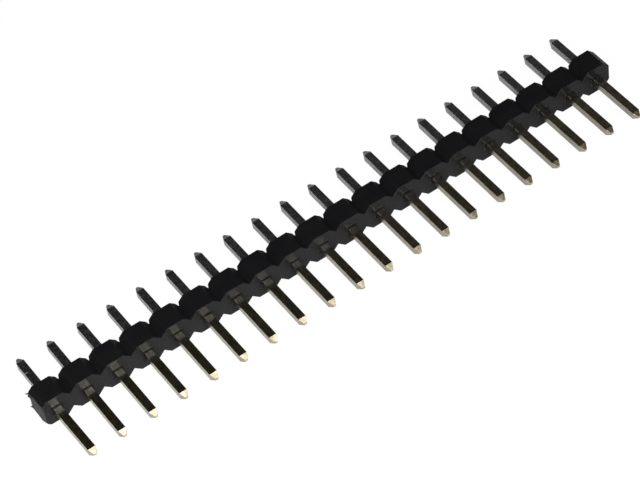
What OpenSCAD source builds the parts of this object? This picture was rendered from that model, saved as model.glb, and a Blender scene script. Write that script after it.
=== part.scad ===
// Straight pin header strip: one row of square pins in a moulded housing that
// snaps apart at the notches between its cells.
// The strip lies on its side. The row runs along X, the mating posts point to -Y
// and the solder tails to +Y. Z = 0 is the plane that the housing lies on, and
// Y = 0 is the housing's mating face.

/* [Row] */
// Number of pins in the row
pin_count = 20; // [2:1:40]
// Distance between neighbouring pins
pitch = 2; // [1.9:0.05:2.54]

/* [Housing] */
// Height of the housing, across the row
housing_h = 2; // [1.6:0.05:2.6]
// Depth of the housing, along the pins
housing_d = 1.5; // [1:0.05:2.6]
// Half width of each snap notch where it opens
notch_half_w = 0.44; // [0.3:0.02:0.6]
// Depth of each snap notch
notch_depth = 0.44; // [0.2:0.02:0.6]
// Half width of the groove down the tail side, between one cell and the next
groove_half_w = 0.1; // [0.04:0.01:0.2]
// Depth of that groove
groove_depth = 0.2; // [0.05:0.01:0.3]
// Depth of the sloping lead-in at both ends of each pin hole
lead_in = 0.03; // [0.01:0.01:0.12]

/* [Snapped end] */
// How far inside its notch the strip broke off at pin 1, at the tail side
break_inset_tail = 0.13; // [0.11:0.01:0.2]
// How far inside the notch it broke off at the mating side
break_inset_mating = 0.21; // [0.11:0.01:0.3]
// Height of the two ridges on the broken face
break_ridge = 0.03; // [0.01:0.01:0.08]
// Length of the longer of the two torn slivers that stick out of the broken face
sliver_len = 0.17; // [0.06:0.01:0.25]
// Thickness of the torn slivers
sliver_t = 0.05; // [0.02:0.01:0.1]

/* [Pins] */
// Side of the square wire
wire_w = 0.5; // [0.4:0.01:0.6]
// Rounding of the wire's long edges
wire_edge_r = 0.04; // [0.01:0.01:0.1]
// Length of the mating post outside the housing
post_len = 4; // [2:0.1:8]
// Length of the taper at the end of the mating post
post_tip_len = 0.35; // [0.2:0.01:0.6]
// Width of the blunt end of the mating post
post_tip_w = 0.15; // [0.05:0.01:0.25]
// Length of the solder tail outside the housing
tail_len = 2.9; // [2:0.1:5]
// Length of the taper at the end of the solder tail
tail_tip_len = 0.44; // [0.2:0.01:0.6]
// Width of the blunt end of the solder tail
tail_tip_w = 0.13; // [0.05:0.01:0.25]

/* [Fit] */
// Gap between the wire and each wall of its hole
hole_clearance = 0.02; // [0.01:0.01:0.04]
// Length of the raised flats that wedge each pin in its hole
wedge_len = 0.6; // [0.3:0.05:0.9]

/* [Hidden] */
function pin_name(i) = str("pin_", i < 10 ? "0" : "", i);
function pin_x(i) = (i - (pin_count + 1) / 2) * pitch;

row_end_x = pin_count * pitch / 2;
pin_z = housing_h / 2;
notch_root_z = housing_h / 2 - notch_depth;
hole_w = wire_w + 2 * hole_clearance;
cut_over = 0.5;

// Lays what is drawn along +Z in line with a pin, so that +Z becomes -Y, and
// lifts it to the pins' height.
module along_pin() {
    translate([0, 0, pin_z])
        rotate([90, 0, 0])
            children();
}

// Outline of one cell of the housing: an octagon whose sloping sides are the
// halves of the notches on both sides of it.
module cell_outline() {
    flat_half_w = pitch / 2 - notch_half_w;
    polygon([
        [-flat_half_w, -housing_h / 2], [flat_half_w, -housing_h / 2],
        [pitch / 2, -notch_root_z], [pitch / 2, notch_root_z],
        [flat_half_w, housing_h / 2], [-flat_half_w, housing_h / 2],
        [-pitch / 2, notch_root_z], [-pitch / 2, -notch_root_z],
    ]);
}

// Two opposite slopes of a lead-in, carried on past the face that they open in.
module lead_in_slopes() {
    inner = hole_w / 2;
    outer = inner + lead_in + cut_over;
    rotate([90, 0, 0])
        linear_extrude(pitch, center = true)
            polygon([
                [-outer, -cut_over], [outer, -cut_over], [inner, lead_in], [-inner, lead_in],
            ]);
}

// Square hole for one pin, with a lead-in at both ends.
module pin_hole() {
    translate([0, 0, -housing_d - cut_over])
        linear_extrude(housing_d + 2 * cut_over)
            square(hole_w, center = true);
    for (end = [0, 1])
        translate([0, 0, (end - 1) * housing_d])
            mirror([0, 0, end])
                intersection() {
                    lead_in_slopes();
                    rotate([0, 0, 90])
                        lead_in_slopes();
                }
}

// V groove down the tail side at the boundary between two cells, which guides
// the snap together with the two notches.
module back_groove() {
    linear_extrude(3 * housing_h, center = true)
        polygon([
            [-groove_half_w, housing_d], [0, housing_d - groove_depth],
            [groove_half_w, housing_d], [groove_half_w, housing_d + cut_over],
            [-groove_half_w, housing_d + cut_over],
        ]);
}

// What broke away at pin 1. Seen from above, the break leans across the notch
// and runs over two low ridges.
module snapped_off() {
    function break_x(share, ridge) =
        -row_end_x + break_inset_mating + share * (break_inset_tail - break_inset_mating) + ridge;
    linear_extrude(3 * housing_h, center = true)
        polygon([
            [-row_end_x - cut_over, -cut_over],
            [break_x(0, 0), -cut_over],
            [break_x(0, 0), 0],
            [break_x(0.25, break_ridge), 0.25 * housing_d],
            [break_x(0.5, -break_ridge / 2), 0.5 * housing_d],
            [break_x(0.7, break_ridge), 0.7 * housing_d],
            [break_x(1, 0), housing_d],
            [break_x(1, 0), housing_d + cut_over],
            [-row_end_x - cut_over, housing_d + cut_over],
        ]);
}

// Sliver of torn plastic at the tail side of the break, just inside a notch.
module torn_sliver(length) {
    root_x = -row_end_x + break_inset_tail;
    root_len = 3 * sliver_t;
    linear_extrude(sliver_t, center = true)
        polygon([
            [root_x, housing_d], [root_x - length, housing_d - sliver_t],
            [root_x, housing_d - root_len], [root_x + sliver_t, housing_d - root_len],
            [root_x + sliver_t, housing_d],
        ]);
}

module housing() {
    color("#1b1b1d") {
        difference() {
            along_pin()
                translate([0, 0, -housing_d])
                    linear_extrude(housing_d)
                        for (i = [1 : pin_count])
                            translate([pin_x(i), 0])
                                cell_outline();
            for (i = [1 : pin_count])
                translate([pin_x(i), 0, 0])
                    along_pin()
                        pin_hole();
            for (i = [1 : pin_count - 1])
                translate([pin_x(i) + pitch / 2, 0, 0])
                    back_groove();
            snapped_off();
        }
        for (side = [-1, 1])
            translate([0, 0, pin_z + side * (notch_root_z + break_inset_tail - sliver_t)])
                torn_sliver(side > 0 ? sliver_len : sliver_len / 2);
    }
}

// Section of the drawn wire: a square with rounded corners.
module wire_section() {
    flat = wire_w - 2 * wire_edge_r;
    square([wire_w, flat], center = true);
    square([flat, wire_w], center = true);
    for (sx = [-1, 1], sy = [-1, 1])
        translate([sx * flat / 2, sy * flat / 2])
            circle(wire_edge_r, $fn = 20);
}

// What one pair of coining dies leaves: the pin's side view, tapered at the end
// of the tail and at the end of the post.
module coined_profile() {
    tail_end = -housing_d - tail_len;
    rotate([90, 0, 0])
        linear_extrude(2 * wire_w, center = true)
            polygon([
                [-tail_tip_w / 2, tail_end], [tail_tip_w / 2, tail_end],
                [wire_w / 2, tail_end + tail_tip_len], [wire_w / 2, post_len - post_tip_len],
                [post_tip_w / 2, post_len], [-post_tip_w / 2, post_len],
                [-wire_w / 2, post_len - post_tip_len], [-wire_w / 2, tail_end + tail_tip_len],
            ]);
}

// Raised flat on one side of the wire, which fills the gap to the hole's wall.
module wedge_flat() {
    ramp = 2 * hole_clearance;
    rotate([90, 0, 0])
        linear_extrude(wire_w / 2, center = true)
            polygon([
                [0, -wedge_len / 2 - ramp], [wire_w / 2, -wedge_len / 2 - ramp],
                [hole_w / 2, -wedge_len / 2], [hole_w / 2, wedge_len / 2],
                [wire_w / 2, wedge_len / 2 + ramp], [0, wedge_len / 2 + ramp],
            ]);
}

module pin(i) {
    color("#c9a94f")
        translate([pin_x(i), 0, 0])
            along_pin() {
                intersection() {
                    translate([0, 0, -housing_d - tail_len])
                        linear_extrude(tail_len + housing_d + post_len)
                            wire_section();
                    coined_profile();
                    rotate([0, 0, 90])
                        coined_profile();
                }
                translate([0, 0, -housing_d / 2])
                    for (turn = [0, 180])
                        rotate([0, 0, turn])
                            wedge_flat();
            }
}

housing();
for (i = [1 : pin_count])
    pin(i);
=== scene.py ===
"""Pin header strip, dressed: a black moulded housing, snapped off at one end, and its plated pins."""

import math

import bmesh
import bpy
from mathutils import Matrix, Vector, noise


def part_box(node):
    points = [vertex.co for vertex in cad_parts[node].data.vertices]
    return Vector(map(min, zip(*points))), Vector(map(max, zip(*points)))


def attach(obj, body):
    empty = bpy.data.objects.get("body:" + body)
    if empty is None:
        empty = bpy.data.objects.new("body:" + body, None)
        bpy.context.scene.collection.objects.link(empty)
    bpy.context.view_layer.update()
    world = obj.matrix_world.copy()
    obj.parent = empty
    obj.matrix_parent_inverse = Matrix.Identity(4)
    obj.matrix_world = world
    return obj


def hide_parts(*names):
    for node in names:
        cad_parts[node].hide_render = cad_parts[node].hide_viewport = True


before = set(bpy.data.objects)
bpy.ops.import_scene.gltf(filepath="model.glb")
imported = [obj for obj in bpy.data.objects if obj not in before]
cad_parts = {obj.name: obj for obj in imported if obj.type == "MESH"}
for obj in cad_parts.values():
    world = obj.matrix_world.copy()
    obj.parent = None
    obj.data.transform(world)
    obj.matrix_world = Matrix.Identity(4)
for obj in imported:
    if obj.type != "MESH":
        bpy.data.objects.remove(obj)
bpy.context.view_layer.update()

# ---------------------------------------------------------------- camera
# The strip is looked down on from its mating side, nearer its snapped end, with
# a long lens that is turned a little so that the row climbs to the right.

MM = 0.001
look_at = Vector((-0.876, 0.513, 1.0)) * MM
look_distance = 142.0 * MM
look_azimuth = math.radians(-27.72)
look_elevation = math.radians(49.30)
look_roll = math.radians(-9.615)
focal_length = 139.3
nearest_seen = 10 * MM

camera = bpy.data.objects.new("camera", bpy.data.cameras.new("camera"))
bpy.context.scene.collection.objects.link(camera)
bpy.context.scene.camera = camera
camera.data.lens = focal_length
camera.data.clip_start = nearest_seen
look_along = Vector((
    -math.sin(look_azimuth) * math.cos(look_elevation),
    math.cos(look_azimuth) * math.cos(look_elevation),
    -math.sin(look_elevation),
))
level_right = Vector((math.cos(look_azimuth), math.sin(look_azimuth), 0))
level_up = level_right.cross(look_along)
right = math.cos(look_roll) * level_right + math.sin(look_roll) * level_up
up = math.cos(look_roll) * level_up - math.sin(look_roll) * level_right
camera_turn = Matrix((right, up, -look_along)).transposed().to_4x4()
camera.matrix_world = Matrix.Translation(look_at - look_distance * look_along) @ camera_turn

# --------------------------------------------------------------- housing
# One moulding of black glass-filled plastic: a chain of octagonal cells with a
# square pin hole through each, V notches between them above and below and a
# groove between them behind. It was snapped off a longer strip at the -X end.

housing_low, housing_high = (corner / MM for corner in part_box("housing"))
pin_names = sorted(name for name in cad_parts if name.startswith("pin_"))
pin_boxes = [[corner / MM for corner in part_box(name)] for name in pin_names]
pin_places = [(low.x + high.x) / 2 for low, high in pin_boxes]
pitch = pin_places[1] - pin_places[0]
pin_height = (pin_boxes[0][0].z + pin_boxes[0][1].z) / 2
wire = pin_boxes[0][1].z - pin_boxes[0][0].z
half_pitch = pitch / 2
half_height = (housing_high.z - housing_low.z) / 2
depth = housing_high.y - housing_low.y
row_start = pin_places[0] - half_pitch

# Each notch is as deep as half its width, so that its sides slope at 45 degrees.
notch = 0.44
notch_root = half_height - notch
groove_half_width = 0.1
groove_depth = 0.2
edge_round = 0.025
edge_segments = 3
sharp_edge = math.radians(20)

# The pin holes taper in over the depth of the lead-in. Their mouths are wider in front.
hole_gap = 0.004
hole = wire / 2 + hole_gap
lead_in = 0.04
mouth = 0.14

# How far inside its notch the strip broke, at the mating side and at the tail side,
# above and below the pins.
break_insets_above = (0.15, 0.14)
break_insets_below = (0.09, 0.13)

# The broken face: its hollow, its chipped corners, its lip and its torn grain. Reaches
# are shares of the depth, and heights and spreads are shares of the half height.
break_hollow = 0.05
break_belly = 0.025
front_chip = 0.08
front_chip_reach = 0.25
top_chip = 0.05
bottom_chip = 0.4
bottom_chip_reach = 0.2
chip_height = 0.5
lip_length = 0.09
lip_height = 0.5
lip_spread = 0.2
coarse_tear = 0.02
fine_tear = 0.005
break_columns = 34
break_rows = 30

# The fibres: root, bend and tip, from the row's end, its tail side and the pins' height.
upper_fibre = [(0.25, -0.04, 0.62), (0.08, -0.04, 0.58), (-0.0315, -0.04, 0.75)]
upper_fibre_thickness = 0.09
lower_fibre = [(0.25, -0.06, -0.72), (0.12, -0.06, -0.62), (0.045, -0.06, -0.46)]
lower_fibre_thickness = 0.13
fibre_taper = 0.45
fibre_flatness = 0.3
fibre_steps = 12
fibre_sides = 8

black = (0.0070, 0.0069, 0.0082, 1)
greyer_black = (0.0088, 0.0086, 0.0088, 1)
speck_grey = (0.04, 0.04, 0.04, 1)
plastic_roughness = 0.15
plastic_shine = 0.21
torn_dark = (0.009, 0.009, 0.009, 1)
torn_pale = (0.098, 0.098, 0.097, 1)
torn_roughness = 0.45
torn_shine = 0.4


class Vertices:
    """Makes each corner of a mesh once, so that the faces round it share it."""

    def __init__(self, mesh):
        self.mesh = mesh
        self.made = {}

    def at(self, x, y, z):
        key = (round(x, 4), round(y, 4), round(z, 4))
        if key not in self.made:
            self.made[key] = self.mesh.verts.new((x, y, z))
        return self.made[key]

    def face(self, *corners):
        return self.mesh.faces.new([self.at(*corner) for corner in corners])


def broken_x(share, height):
    """Where the break lies at a share of the depth from the mating face, and a share of the height."""
    above, below = (
        mating + share * (tail - mating) for mating, tail in (break_insets_above, break_insets_below)
    )
    lean = below + (above - below) * (0.5 + 0.5 * height)
    hollow = break_hollow * math.sin(math.pi * share) * math.cos(1.3 * height)
    hollow += break_belly * (1 - height**2)
    chip = front_chip * max(0.0, 1 - share / front_chip_reach) ** 2
    chip += top_chip * max(0.0, height - chip_height) ** 2
    chip += bottom_chip * max(0.0, -height - chip_height) ** 2 * max(0.0, 1 - share / bottom_chip_reach)
    lip = -lip_length * math.exp(-((height - lip_height) / lip_spread) ** 2) * share**6
    place = Vector((share * depth, height * half_height, 3.1))
    torn = noise.fractal(place * 2.6, 0.8, 2.1, 6) * coarse_tear + noise.noise(place * 11) * fine_tear
    calmer_edge = min(1.0, 7 * share * (1 - share) + 0.2) * min(1.0, 4 * (1.0 - abs(height)) + 0.3)
    return row_start + lean + hollow + chip + lip + torn * calmer_edge


def broken_face(corners):
    """Grid across the snapped end, from the lower notch to the upper one, as upright lines."""
    grid = []
    for column in range(break_columns + 1):
        share = column / break_columns
        line = []
        for row in range(break_rows + 1):
            height = 2 * row / break_rows - 1
            x = broken_x(share, height)
            edge_x = broken_x(share, math.copysign(1, height))
            z = height * (notch_root + edge_x - row_start)
            line.append((x, housing_low.y + share * depth, pin_height + z))
        grid.append(line)
    for near, far in zip(grid, grid[1:]):
        for row in range(break_rows):
            face = corners.face(near[row], near[row + 1], far[row + 1], far[row])
            face.material_index = 1
            face.smooth = True
    return grid


def cell_corners(x, y, inset):
    """One cell's octagon, anticlockwise from its lower left, its upright sides moved in by inset."""
    flat = half_pitch - notch
    side = half_pitch - inset
    side_top = notch_root + inset
    outline = [
        (-side, -side_top), (-flat, -half_height), (flat, -half_height), (side, -side_top),
        (side, side_top), (flat, half_height), (-flat, half_height), (-side, side_top),
    ]
    return [(x + across, y, pin_height + upward) for across, upward in outline]


def hole_corners(x, y, half):
    """The square of one pin hole, anticlockwise from its lower left."""
    outline = [(-half, -half), (half, -half), (half, half), (-half, half)]
    return [(x + across, y, pin_height + upward) for across, upward in outline]


def end_of_cell(corners, outline, opening, left_rim):
    """Flat face of a cell round its pin hole, on the mating or the tail side."""
    corners.face(outline[1], outline[2], opening[1], opening[0])
    corners.face(outline[2], outline[3], opening[1])
    corners.face(outline[3], outline[4], opening[2], opening[1])
    corners.face(outline[4], outline[5], opening[2])
    corners.face(outline[5], outline[6], opening[3], opening[2])
    corners.face(outline[6], left_rim[-1], opening[3])
    corners.face(opening[3], *reversed(left_rim), opening[0])
    corners.face(left_rim[0], outline[1], opening[0])


def make_housing():
    """The whole moulding, cell by cell from the break to the moulded end."""
    mesh = bmesh.new()
    corners = Vertices(mesh)
    front, back = housing_low.y, housing_high.y
    grid = broken_face(corners)
    for number, x in enumerate(pin_places):
        first, last = number == 0, number == len(pin_places) - 1
        near = cell_corners(x, front, 0)
        groove = cell_corners(x, back - groove_depth, 0)
        far = cell_corners(x, back, groove_half_width)
        if last:
            whole = cell_corners(x, back, 0)
            far[3], far[4] = whole[3], whole[4]
        near_rim, far_rim = [near[0], near[7]], [far[0], far[7]]
        if first:
            near_rim, far_rim = grid[0], grid[-1]
        holes = [
            hole_corners(x, front, hole + mouth),
            hole_corners(x, front + lead_in, hole),
            hole_corners(x, back - lead_in, hole),
            hole_corners(x, back, hole + lead_in),
        ]
        end_of_cell(corners, near, holes[0], near_rim)
        end_of_cell(corners, far, holes[-1], far_rim)
        for fore, aft in zip(holes, holes[1:]):
            for side in range(4):
                after = (side + 1) % 4
                corners.face(fore[side], fore[after], aft[after], aft[side])
        # The flats below and above.
        for side in (1, 5):
            corners.face(near[side], near[side + 1], far[side + 1], far[side])
        # The right side: half of both notches, and of the groove unless the row ends here.
        if last:
            corners.face(near[2], near[3], far[3], far[2])
            corners.face(near[4], near[5], far[5], far[4])
            corners.face(near[3], near[4], far[4], far[3])
        else:
            corners.face(near[2], near[3], groove[3], far[3], far[2])
            corners.face(near[4], near[5], far[5], far[4], groove[4])
            corners.face(groove[3], groove[4], far[4], far[3])
        # The left side, where the row starts with the break.
        if first:
            lower = [line[0] for line in grid]
            upper = [line[-1] for line in grid]
            corners.face(near[1], far[1], *reversed(lower))
            corners.face(near[6], *upper, far[6])
        else:
            corners.face(near[0], near[1], far[1], far[0], groove[0])
            corners.face(near[6], near[7], groove[7], far[7], far[6])
            corners.face(groove[7], groove[0], far[0], far[7])
    bmesh.ops.recalc_face_normals(mesh, faces=mesh.faces)
    # Edges in the pin holes and round their mouths stay sharp, as do those of the break.
    in_hole = hole + mouth + 0.01
    moulded = [
        edge for edge in mesh.edges
        if len(edge.link_faces) == 2
        and edge.calc_face_angle() > sharp_edge
        and not any(face.material_index for face in edge.link_faces)
        and not all(abs(corner.co.z - pin_height) < in_hole for corner in edge.verts)
    ]
    rounded = bmesh.ops.bevel(
        mesh, geom=moulded, offset=edge_round, segments=edge_segments, profile=0.5,
        affect="EDGES", clamp_overlap=True,
    )
    for face in rounded["faces"]:
        face.smooth = True
    return mesh


def torn_fibre(mesh, course, thickness):
    """Curled fibre of plastic drawn out of the break, along the root, bend and tip of its course."""
    start, middle, tip = (Vector(point) for point in course)
    row_end = Vector((row_start, housing_high.y, pin_height))
    rings = []
    for step in range(fibre_steps + 1):
        share = step / fibre_steps
        reach = (1 - share) ** 2 * start + 2 * share * (1 - share) * middle + share**2 * tip
        centre = row_end + reach
        half = thickness / 2 * (1 - fibre_taper * share**1.5)
        ring = []
        for turn in range(fibre_sides):
            angle = math.tau * turn / fibre_sides
            ring.append(mesh.verts.new(centre + Vector((
                fibre_flatness * half * math.sin(angle), half * math.cos(angle), half * math.sin(angle),
            ))))
        rings.append(ring)
    for near, far in zip(rings, rings[1:]):
        for turn in range(fibre_sides):
            after = (turn + 1) % fibre_sides
            face = mesh.faces.new((near[turn], near[after], far[after], far[turn]))
            face.material_index = 1
            face.smooth = True
    for ring in (rings[0], rings[-1]):
        mesh.faces.new(ring).material_index = 1


def finish_piece(name, mesh, body, replaced, materials):
    """Turns a mesh worked in millimetres into a shown piece that stands for a CAD node."""
    bmesh.ops.recalc_face_normals(mesh, faces=mesh.faces)
    data = bpy.data.meshes.new(name)
    mesh.transform(Matrix.Scale(MM, 4))
    mesh.to_mesh(data)
    mesh.free()
    piece = bpy.data.objects.new(name, data)
    bpy.context.scene.collection.objects.link(piece)
    for material in materials:
        data.materials.append(material)
    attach(piece, body)
    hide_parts(replaced)
    return piece


class Shade:
    """An output of one of a material's nodes. Arithmetic on it adds the Math nodes."""

    def __init__(self, tree, socket=None):
        self.tree = tree
        self.socket = socket

    def node(self, kind, settings=None, output=0, **inputs):
        """Adds a node: its settings first, then its inputs, named (From_Min) or numbered (in0)."""
        made = self.tree.nodes.new(kind)
        for name, value in (settings or {}).items():
            setattr(made, name, value)
        for name, value in inputs.items():
            numbered = name.startswith("in") and name[2:].isdigit()
            key = int(name[2:]) if numbered else name.replace("_", " ")
            self.feed(made.inputs[key], value)
        return Shade(self.tree, made.outputs[output])

    def feed(self, target, value):
        """Links a shade to a socket, or sets the socket to a constant."""
        if isinstance(value, Shade):
            self.tree.links.new(value.socket, target)
        else:
            target.default_value = value

    def maths(self, operation, first, second):
        return self.node("ShaderNodeMath", {"operation": operation}, in0=first, in1=second)

    def __add__(self, other):
        return self.maths("ADD", self, other)

    __radd__ = __add__

    def __sub__(self, other):
        return self.maths("SUBTRACT", self, other)

    def __rsub__(self, other):
        return self.maths("SUBTRACT", other, self)

    def __mul__(self, other):
        return self.maths("MULTIPLY", self, other)

    __rmul__ = __mul__

    def __truediv__(self, other):
        return self.maths("DIVIDE", self, other)

    def __rtruediv__(self, other):
        return self.maths("DIVIDE", other, self)

    def __neg__(self):
        return 0 - self

    def above(self, level, softness):
        """0 below level - softness, 1 above level + softness."""
        return self.node(
            "ShaderNodeMapRange", {"interpolation_type": "SMOOTHSTEP"},
            Value=self, From_Min=level - softness, From_Max=level + softness,
        )

    def mixed(self, low, high):
        """Colour that goes from low to high as this goes from 0 to 1."""
        return self.node(
            "ShaderNodeMix", {"data_type": "RGBA"}, output=2, in0=self, in6=low, in7=high,
        )


def new_material(name):
    """A new material, a Shade to add its nodes with, and the sockets of its Principled shader."""
    material = bpy.data.materials.new(name)
    material.use_nodes = True
    tree = material.node_tree
    return material, Shade(tree), tree.nodes["Principled BSDF"].inputs


def millimetres(shade):
    """Place on the object, in millimetres along X, Y and Z."""
    place = shade.node("ShaderNodeTexCoord", output="Object")
    return shade.node("ShaderNodeVectorMath", {"operation": "SCALE"}, in0=place, Scale=1 / MM)


def along_axis(shade, vector, axis):
    """The X, Y or Z part of a vector."""
    return shade.node("ShaderNodeSeparateXYZ", output=axis, Vector=vector)


def stretched(shade, place, x, y, z):
    """A place with its axes scaled, so that grain laid on it is drawn out."""
    return shade.node("ShaderNodeVectorMath", {"operation": "MULTIPLY"}, in0=place, in1=(x, y, z))


def grain(shade, place, scale, detail=3.0, roughness=0.5):
    """Cloudy noise around 0.5."""
    return shade.node(
        "ShaderNodeTexNoise", Vector=place, Scale=scale, Detail=detail, Roughness=roughness,
    )


def bumped(shade, height, distance, strength=1.0):
    """Normal of a surface whose height, from 0 to 1, is worth a distance in millimetres."""
    return shade.node("ShaderNodeBump", Height=height, Distance=distance * MM, Strength=strength)


def moulded_black():
    """Smooth black plastic with faint flow marks, a fine mould texture and a few pale specks.

    The mould was duller on the mating face, and most of all on the notches' right flanks.
    """
    material, shade, plastic = new_material("black_plastic")
    place = millimetres(shade)
    flow = grain(shade, stretched(shade, place, 0.35, 1.0, 1.0), 1.1, 4.0)
    fine = grain(shade, place, 14.0, 3.0, 0.6)
    specks = shade.node("ShaderNodeTexVoronoi", Vector=place, Scale=2.3)
    speck = 1 - specks.above(0.035, 0.02)
    facing = shade.node("ShaderNodeTexCoord", output="Normal")
    sideways = along_axis(shade, facing, "X")
    upward = along_axis(shade, facing, "Z")
    right_flank = (sideways * upward).above(0.35, 0.1)
    mating_face = (-along_axis(shade, facing, "Y")).above(0.8, 0.1)
    tone = flow.above(0.5, 0.2).mixed(black, greyer_black)
    shade.feed(plastic["Base Color"], speck.mixed(tone, speck_grey))
    moulded = plastic_roughness + flow * 0.05 + fine * 0.04 + speck * 0.2
    shade.feed(plastic["Roughness"], moulded + right_flank * 0.32 + mating_face * 0.07)
    shade.feed(plastic["Normal"], bumped(shade, fine + flow * 4, 0.002, 0.4))
    plastic["Specular IOR Level"].default_value = plastic_shine
    return material


def torn_black():
    """The broken face: dull, and whitened by the tear in its lower part, with short fibres."""
    material, shade, plastic = new_material("broken_plastic")
    place = millimetres(shade)
    lumps = grain(shade, place, 3.5, 5.0, 0.65)
    fibres = grain(shade, stretched(shade, place, 1.0, 2.5, 9.0), 3.0, 4.0, 0.7)
    upward = along_axis(shade, place, "Z")
    pulled = 1 - (upward + lumps * 0.3).above(pin_height + 0.42, 0.3)
    whitened = lumps * fibres * 2 * pulled
    shade.feed(plastic["Base Color"], whitened.mixed(torn_dark, torn_pale))
    shade.feed(plastic["Roughness"], torn_roughness + fibres * 0.3)
    shade.feed(plastic["Normal"], bumped(shade, fibres + lumps, 0.03, 0.8))
    plastic["Specular IOR Level"].default_value = torn_shine
    return material


housing_mesh = make_housing()
torn_fibre(housing_mesh, upper_fibre, upper_fibre_thickness)
torn_fibre(housing_mesh, lower_fibre, lower_fibre_thickness)
finish_piece(
    "housing_moulding", housing_mesh, "root", "housing",
    [moulded_black(), torn_black()],
)

# ------------------------------------------------------------------ pins
# Square drawn wire, struck between dies to a blunt point at both ends, then
# pushed into the housing from its tail side. The posts are flashed with pale
# gold and the tails are tinned.

post_tip = 0.35
post_blunt = 0.15
tail_tip = 0.44
tail_blunt = 0.13
wire_round = 0.028
corner_steps = 4
shaft_steps = 12

# The dies leave sharp edges, a softened rim round each blunt end, and a slight skew.
# The wire takes back its rounding and its full width just past the taper.
struck_round = 0.002
rim_width = 0.014
rim_inner_width = 0.004
rim_depth = 0.005
taper_shares = (0.04, 0.5, 0.97)
shoulder_share = 1.01
shoulder_dip = 0.002
shoulder_round = wire_round - 0.01
full_width_share = 1.06
strike_skew = 0.02

# The first post was knocked a little along the row, and the first tail has a nick, drawn as a painted
# highlight: a pale, rougher spot in its tin.
first_post_lean = 0.055
nick_place = (pin_places[0] - 0.03, housing_high.y + 1.56)
nick_half_width = 0.05

rich_gold = (1.0, 0.80, 0.56, 1)
green_gold = (0.98, 0.90, 0.60, 1)
thin_gold = (1.0, 0.92, 0.80, 1)
thinnest_gold = (1.0, 0.97, 0.85, 1)
tarnish = (0.30, 0.25, 0.18, 1)
tarnish_depth = 0.6
dark_tin = (0.50, 0.50, 0.495, 1)
bright_tin = (0.66, 0.66, 0.66, 1)
nick_highlight_white = (0.85, 0.85, 0.85, 1)
# Painted shade: darker colours for the wire's sides, standing in for the shadowed table they reflect.
side_gold_painted_shade = (0.40, 0.37, 0.29, 1)
side_pale_gold_painted_shade = (0.455, 0.435, 0.375, 1)
side_tin_painted_shade = (0.37, 0.37, 0.37, 1)
side_bright_tin_painted_shade = (0.45, 0.45, 0.45, 1)
plated_roughness = 0.10
thin_gold_length = 0.8


def wire_ring(mesh, x, y, half, rounding, skew=(0.0, 0.0)):
    """Ring of vertices round the wire: a square with rounded corners."""
    to_corner = (half - rounding) * math.sqrt(2)
    ring = []
    for quarter in range(4):
        turn = math.pi / 2 * quarter + math.pi / 4
        for step in range(corner_steps + 1):
            angle = math.pi / 2 * (quarter + step / corner_steps)
            across = to_corner * math.cos(turn) + rounding * math.cos(angle)
            upward = to_corner * math.sin(turn) + rounding * math.sin(angle)
            ring.append(mesh.verts.new((x + across + skew[0], y, pin_height + upward + skew[1])))
    return ring


def tip_stations(end, length, blunt, inward):
    """Places along the taper at one end of a pin: (y, half width, corner rounding)."""
    half = wire / 2
    stations = [
        (end, blunt / 2 - rim_width, struck_round),
        (end + inward * rim_depth, blunt / 2 - rim_inner_width, struck_round),
    ]
    for share in taper_shares:
        width = blunt / 2 + share * (half - blunt / 2)
        stations.append((end + inward * length * share, width, struck_round))
    stations.append((end + inward * length * shoulder_share, half - shoulder_dip, shoulder_round))
    stations.append((end + inward * length * full_width_share, half, wire_round))
    return stations


def make_pin(number):
    """One pin, as rings of vertices from the end of its post to the end of its tail."""
    mesh = bmesh.new()
    low, high = pin_boxes[number]
    x = pin_places[number]
    post_end, tail_end = low.y, high.y
    stations = tip_stations(post_end, post_tip, post_blunt, 1)
    for step in range(1, shaft_steps):
        y = post_end + post_tip + (tail_end - tail_tip - post_end - post_tip) * step / shaft_steps
        stations.append((y, wire / 2, wire_round))
    stations += reversed(tip_stations(tail_end, tail_tip, tail_blunt, -1))
    rings = []
    for y, half, rounding in stations:
        taper = 1 - half / (wire / 2)
        seed = Vector((number * 7.3, 0 if y < housing_low.y else 50, 0.5))
        skew = (
            strike_skew * taper * noise.noise(seed),
            strike_skew * taper * noise.noise(seed + Vector((0, 0, 9))),
        )
        lean = first_post_lean * max(0.0, y / post_end) if number == 0 else 0.0
        rings.append(wire_ring(mesh, x + lean, y, half, rounding, skew))
    around = len(rings[0])
    for near, far in zip(rings, rings[1:]):
        for turn in range(around):
            after = (turn + 1) % around
            face = mesh.faces.new((near[turn], near[after], far[after], far[turn]))
            face.smooth = turn % (corner_steps + 1) != corner_steps
    mesh.faces.new(rings[0])
    mesh.faces.new(reversed(rings[-1]))
    return mesh


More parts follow.
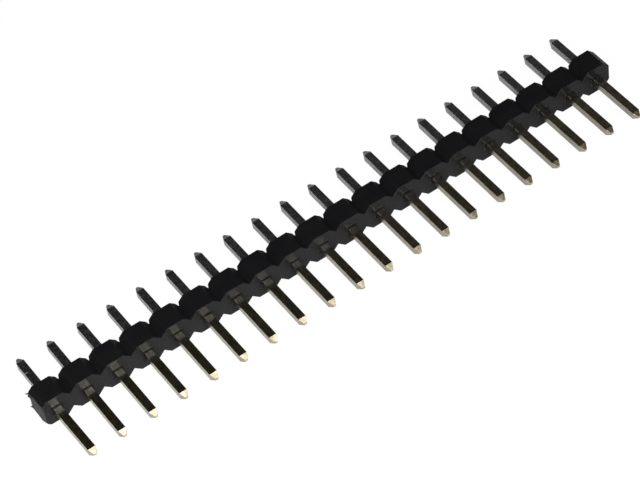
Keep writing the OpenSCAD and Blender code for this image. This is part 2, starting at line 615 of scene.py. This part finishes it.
def plated_wire():
    """Pale gold on the post, thinner at its root, and tin on the tail.

    Above and below, the wire is smooth and bright, and has tarnished in spots. Its sides are
    a little rougher, and their darker colour is painted shade from the shadowed table they reflect.
    """
    material, shade, metal = new_material("plated_wire")
    place = millimetres(shade)
    along = along_axis(shade, place, "Y")
    tinned = along.above(housing_low.y + depth / 2, 0.2)
    facing = shade.node("ShaderNodeTexCoord", output="Normal")
    sideways = along_axis(shade, facing, "X")
    # The wire's sides, which get painted shade in their colour and a little more roughness.
    shaded_sides = (sideways * sideways).above(0.72, 0.15)
    lines = grain(shade, stretched(shade, place, 9.0, 0.35, 9.0), 2.0, 4.0, 0.65)
    cloud = grain(shade, place, 1.3, 3.0).above(0.5, 0.25)
    spots = grain(shade, place, 6.0, 2.0)
    blotch = grain(shade, stretched(shade, place, 1.0, 0.6, 1.0), 4.5, 4.0, 0.6).above(0.5, 0.16)
    rich = cloud.mixed(rich_gold, green_gold)
    thin = cloud.mixed(thin_gold, thinnest_gold)
    gold = along.above(housing_low.y - thin_gold_length, 0.5).mixed(rich, thin)
    gold = (blotch * tarnish_depth).mixed(gold, tarnish)
    mottle = grain(shade, place, 6.0, 3.0, 0.6).above(0.5, 0.13)
    tin = mottle.mixed(dark_tin, bright_tin)
    plated = tinned.mixed(gold, tin)
    gold_in_painted_shade = cloud.mixed(side_gold_painted_shade, side_pale_gold_painted_shade)
    tin_in_painted_shade = cloud.mixed(side_tin_painted_shade, side_bright_tin_painted_shade)
    across = along_axis(shade, place, "X")
    off_nick = (along - nick_place[1]) / nick_half_width
    # Painted highlight: a pale, rougher spot stands for light caught in the first tail's nick.
    nick_painted_highlight = (1 - (off_nick * off_nick).above(0.8, 0.3)) * (1 - across.above(nick_place[0], 0.04))
    plated = nick_painted_highlight.mixed(plated, nick_highlight_white)
    shade.feed(metal["Base Color"], shaded_sides.mixed(plated, tinned.mixed(gold_in_painted_shade, tin_in_painted_shade)))
    metal["Metallic"].default_value = 1.0
    smooth = plated_roughness + lines * 0.08 + spots * 0.05 + nick_painted_highlight * 0.2
    shade.feed(metal["Roughness"], smooth + shaded_sides * 0.08 + tinned * (0.06 + mottle * 0.05))
    shade.feed(metal["Normal"], bumped(shade, lines * 0.8 + spots * 0.5, 0.001, 0.35))
    return material


plating = plated_wire()
for number, name in enumerate(pin_names):
    finish_piece(f"plated_{name}", make_pin(number), "root", name, [plating])

# ----------------------------------------------------- floor and lighting
# A plain white table top in a dark tent, whose wall is pale low down and in
# front. A softbox leans over it from the front, dimmer in its right half, and a
# square soft lamp stands at the front left.

table_half_size = 3.0
paper_white = (0.68, 0.68, 0.68, 1)
paper_roughness = 0.9
shown_white = 1.022
shown_to_camera = 0.95
shown_in_metal = 0.1
shown_in_glass = 0.1

# Places in the tent, by how far across and forward a ray goes for each step up.
softbox_left = -0.35
softbox_right = 0.35
softbox_back = 0.12
softbox_front = 1.5
softbox_strength = 4.9
right_half_loss = 1.2
overhead_loss = 2.3
tent_strength = 0.0128
right_wall_strength = 0.010
right_wall_strength_behind = 0.022
low_wall_strength = 0.14
front_wall_strength = 0.3

lamp_place = Vector((-36, -42, 48)) * MM
lamp_size = 45 * MM
lamp_energy = 0.041

bpy.context.scene.view_settings.view_transform = "Standard"


def table_top():
    """White paper. To the camera it is nearly even, with a faint shadow."""
    material = bpy.data.materials.new("table_white")
    material.use_nodes = True
    shade = Shade(material.node_tree)
    paper = material.node_tree.nodes["Principled BSDF"]
    paper.inputs["Base Color"].default_value = paper_white
    paper.inputs["Roughness"].default_value = paper_roughness
    paper.inputs["Specular IOR Level"].default_value = 0.0
    glow = shade.node("ShaderNodeEmission", Color=(1, 1, 1, 1), Strength=shown_white)
    by_camera = shade.node("ShaderNodeLightPath", output="Is Camera Ray")
    in_metal = shade.node("ShaderNodeLightPath", output="Is Glossy Ray")
    through_glass = shade.node("ShaderNodeLightPath", output="Is Transmission Ray")
    even = shade.node(
        "ShaderNodeMixShader",
        in0=by_camera * shown_to_camera + in_metal * shown_in_metal + through_glass * shown_in_glass,
        in1=Shade(shade.tree, paper.outputs[0]),
        in2=glow,
    )
    shade.feed(material.node_tree.nodes["Material Output"].inputs["Surface"], even)
    return material


floor_mesh = bmesh.new()
bmesh.ops.create_grid(floor_mesh, x_segments=4, y_segments=4, size=table_half_size)
floor_data = bpy.data.meshes.new("table")
floor_mesh.to_mesh(floor_data)
floor_mesh.free()
floor_data.materials.append(table_top())
table = bpy.data.objects.new("table", floor_data)
bpy.context.scene.collection.objects.link(table)

world = bpy.data.worlds.new("tent")
bpy.context.scene.world = world
world.use_nodes = True
sky = Shade(world.node_tree)
toward = sky.node("ShaderNodeTexCoord", output="Generated")
east = along_axis(sky, toward, "X")
north = along_axis(sky, toward, "Y")
height = along_axis(sky, toward, "Z")
forward = -north / height
across = east / height

softbox = across.above(softbox_left, 0.15) * (1 - across.above(softbox_right, 0.04))
softbox = softbox * forward.above(softbox_back, 0.1) * (1 - forward.above(softbox_front, 0.3))
right_half = across.above(0.1, 0.1)
overhead = 1 - forward.above(0.5, 0.15)
softbox = softbox * (softbox_strength - right_half * (right_half_loss + overhead_loss * overhead))
right_wall = across.above(0.42, 0.2)
behind = (-forward).above(0.75, 0.03)
dark_tent = tent_strength + right_wall * (right_wall_strength + right_wall_strength_behind * behind)
low_wall = low_wall_strength * (1 - height.above(0.2, 0.1))
front_wall = front_wall_strength * (-north).above(0.55, 0.2) * (1 - height.above(0.45, 0.12))
sky.feed(
    world.node_tree.nodes["Background"].inputs["Color"],
    softbox + dark_tent + low_wall + front_wall,
)

lamp = bpy.data.objects.new("left_lamp", bpy.data.lights.new("left_lamp", "AREA"))
bpy.context.scene.collection.objects.link(lamp)
lamp.data.shape = "SQUARE"
lamp.data.size = lamp_size
lamp.data.energy = lamp_energy
lamp_turn = lamp_place.to_track_quat("Z", "Y").to_matrix().to_4x4()
lamp.matrix_world = Matrix.Translation(lamp_place) @ lamp_turn
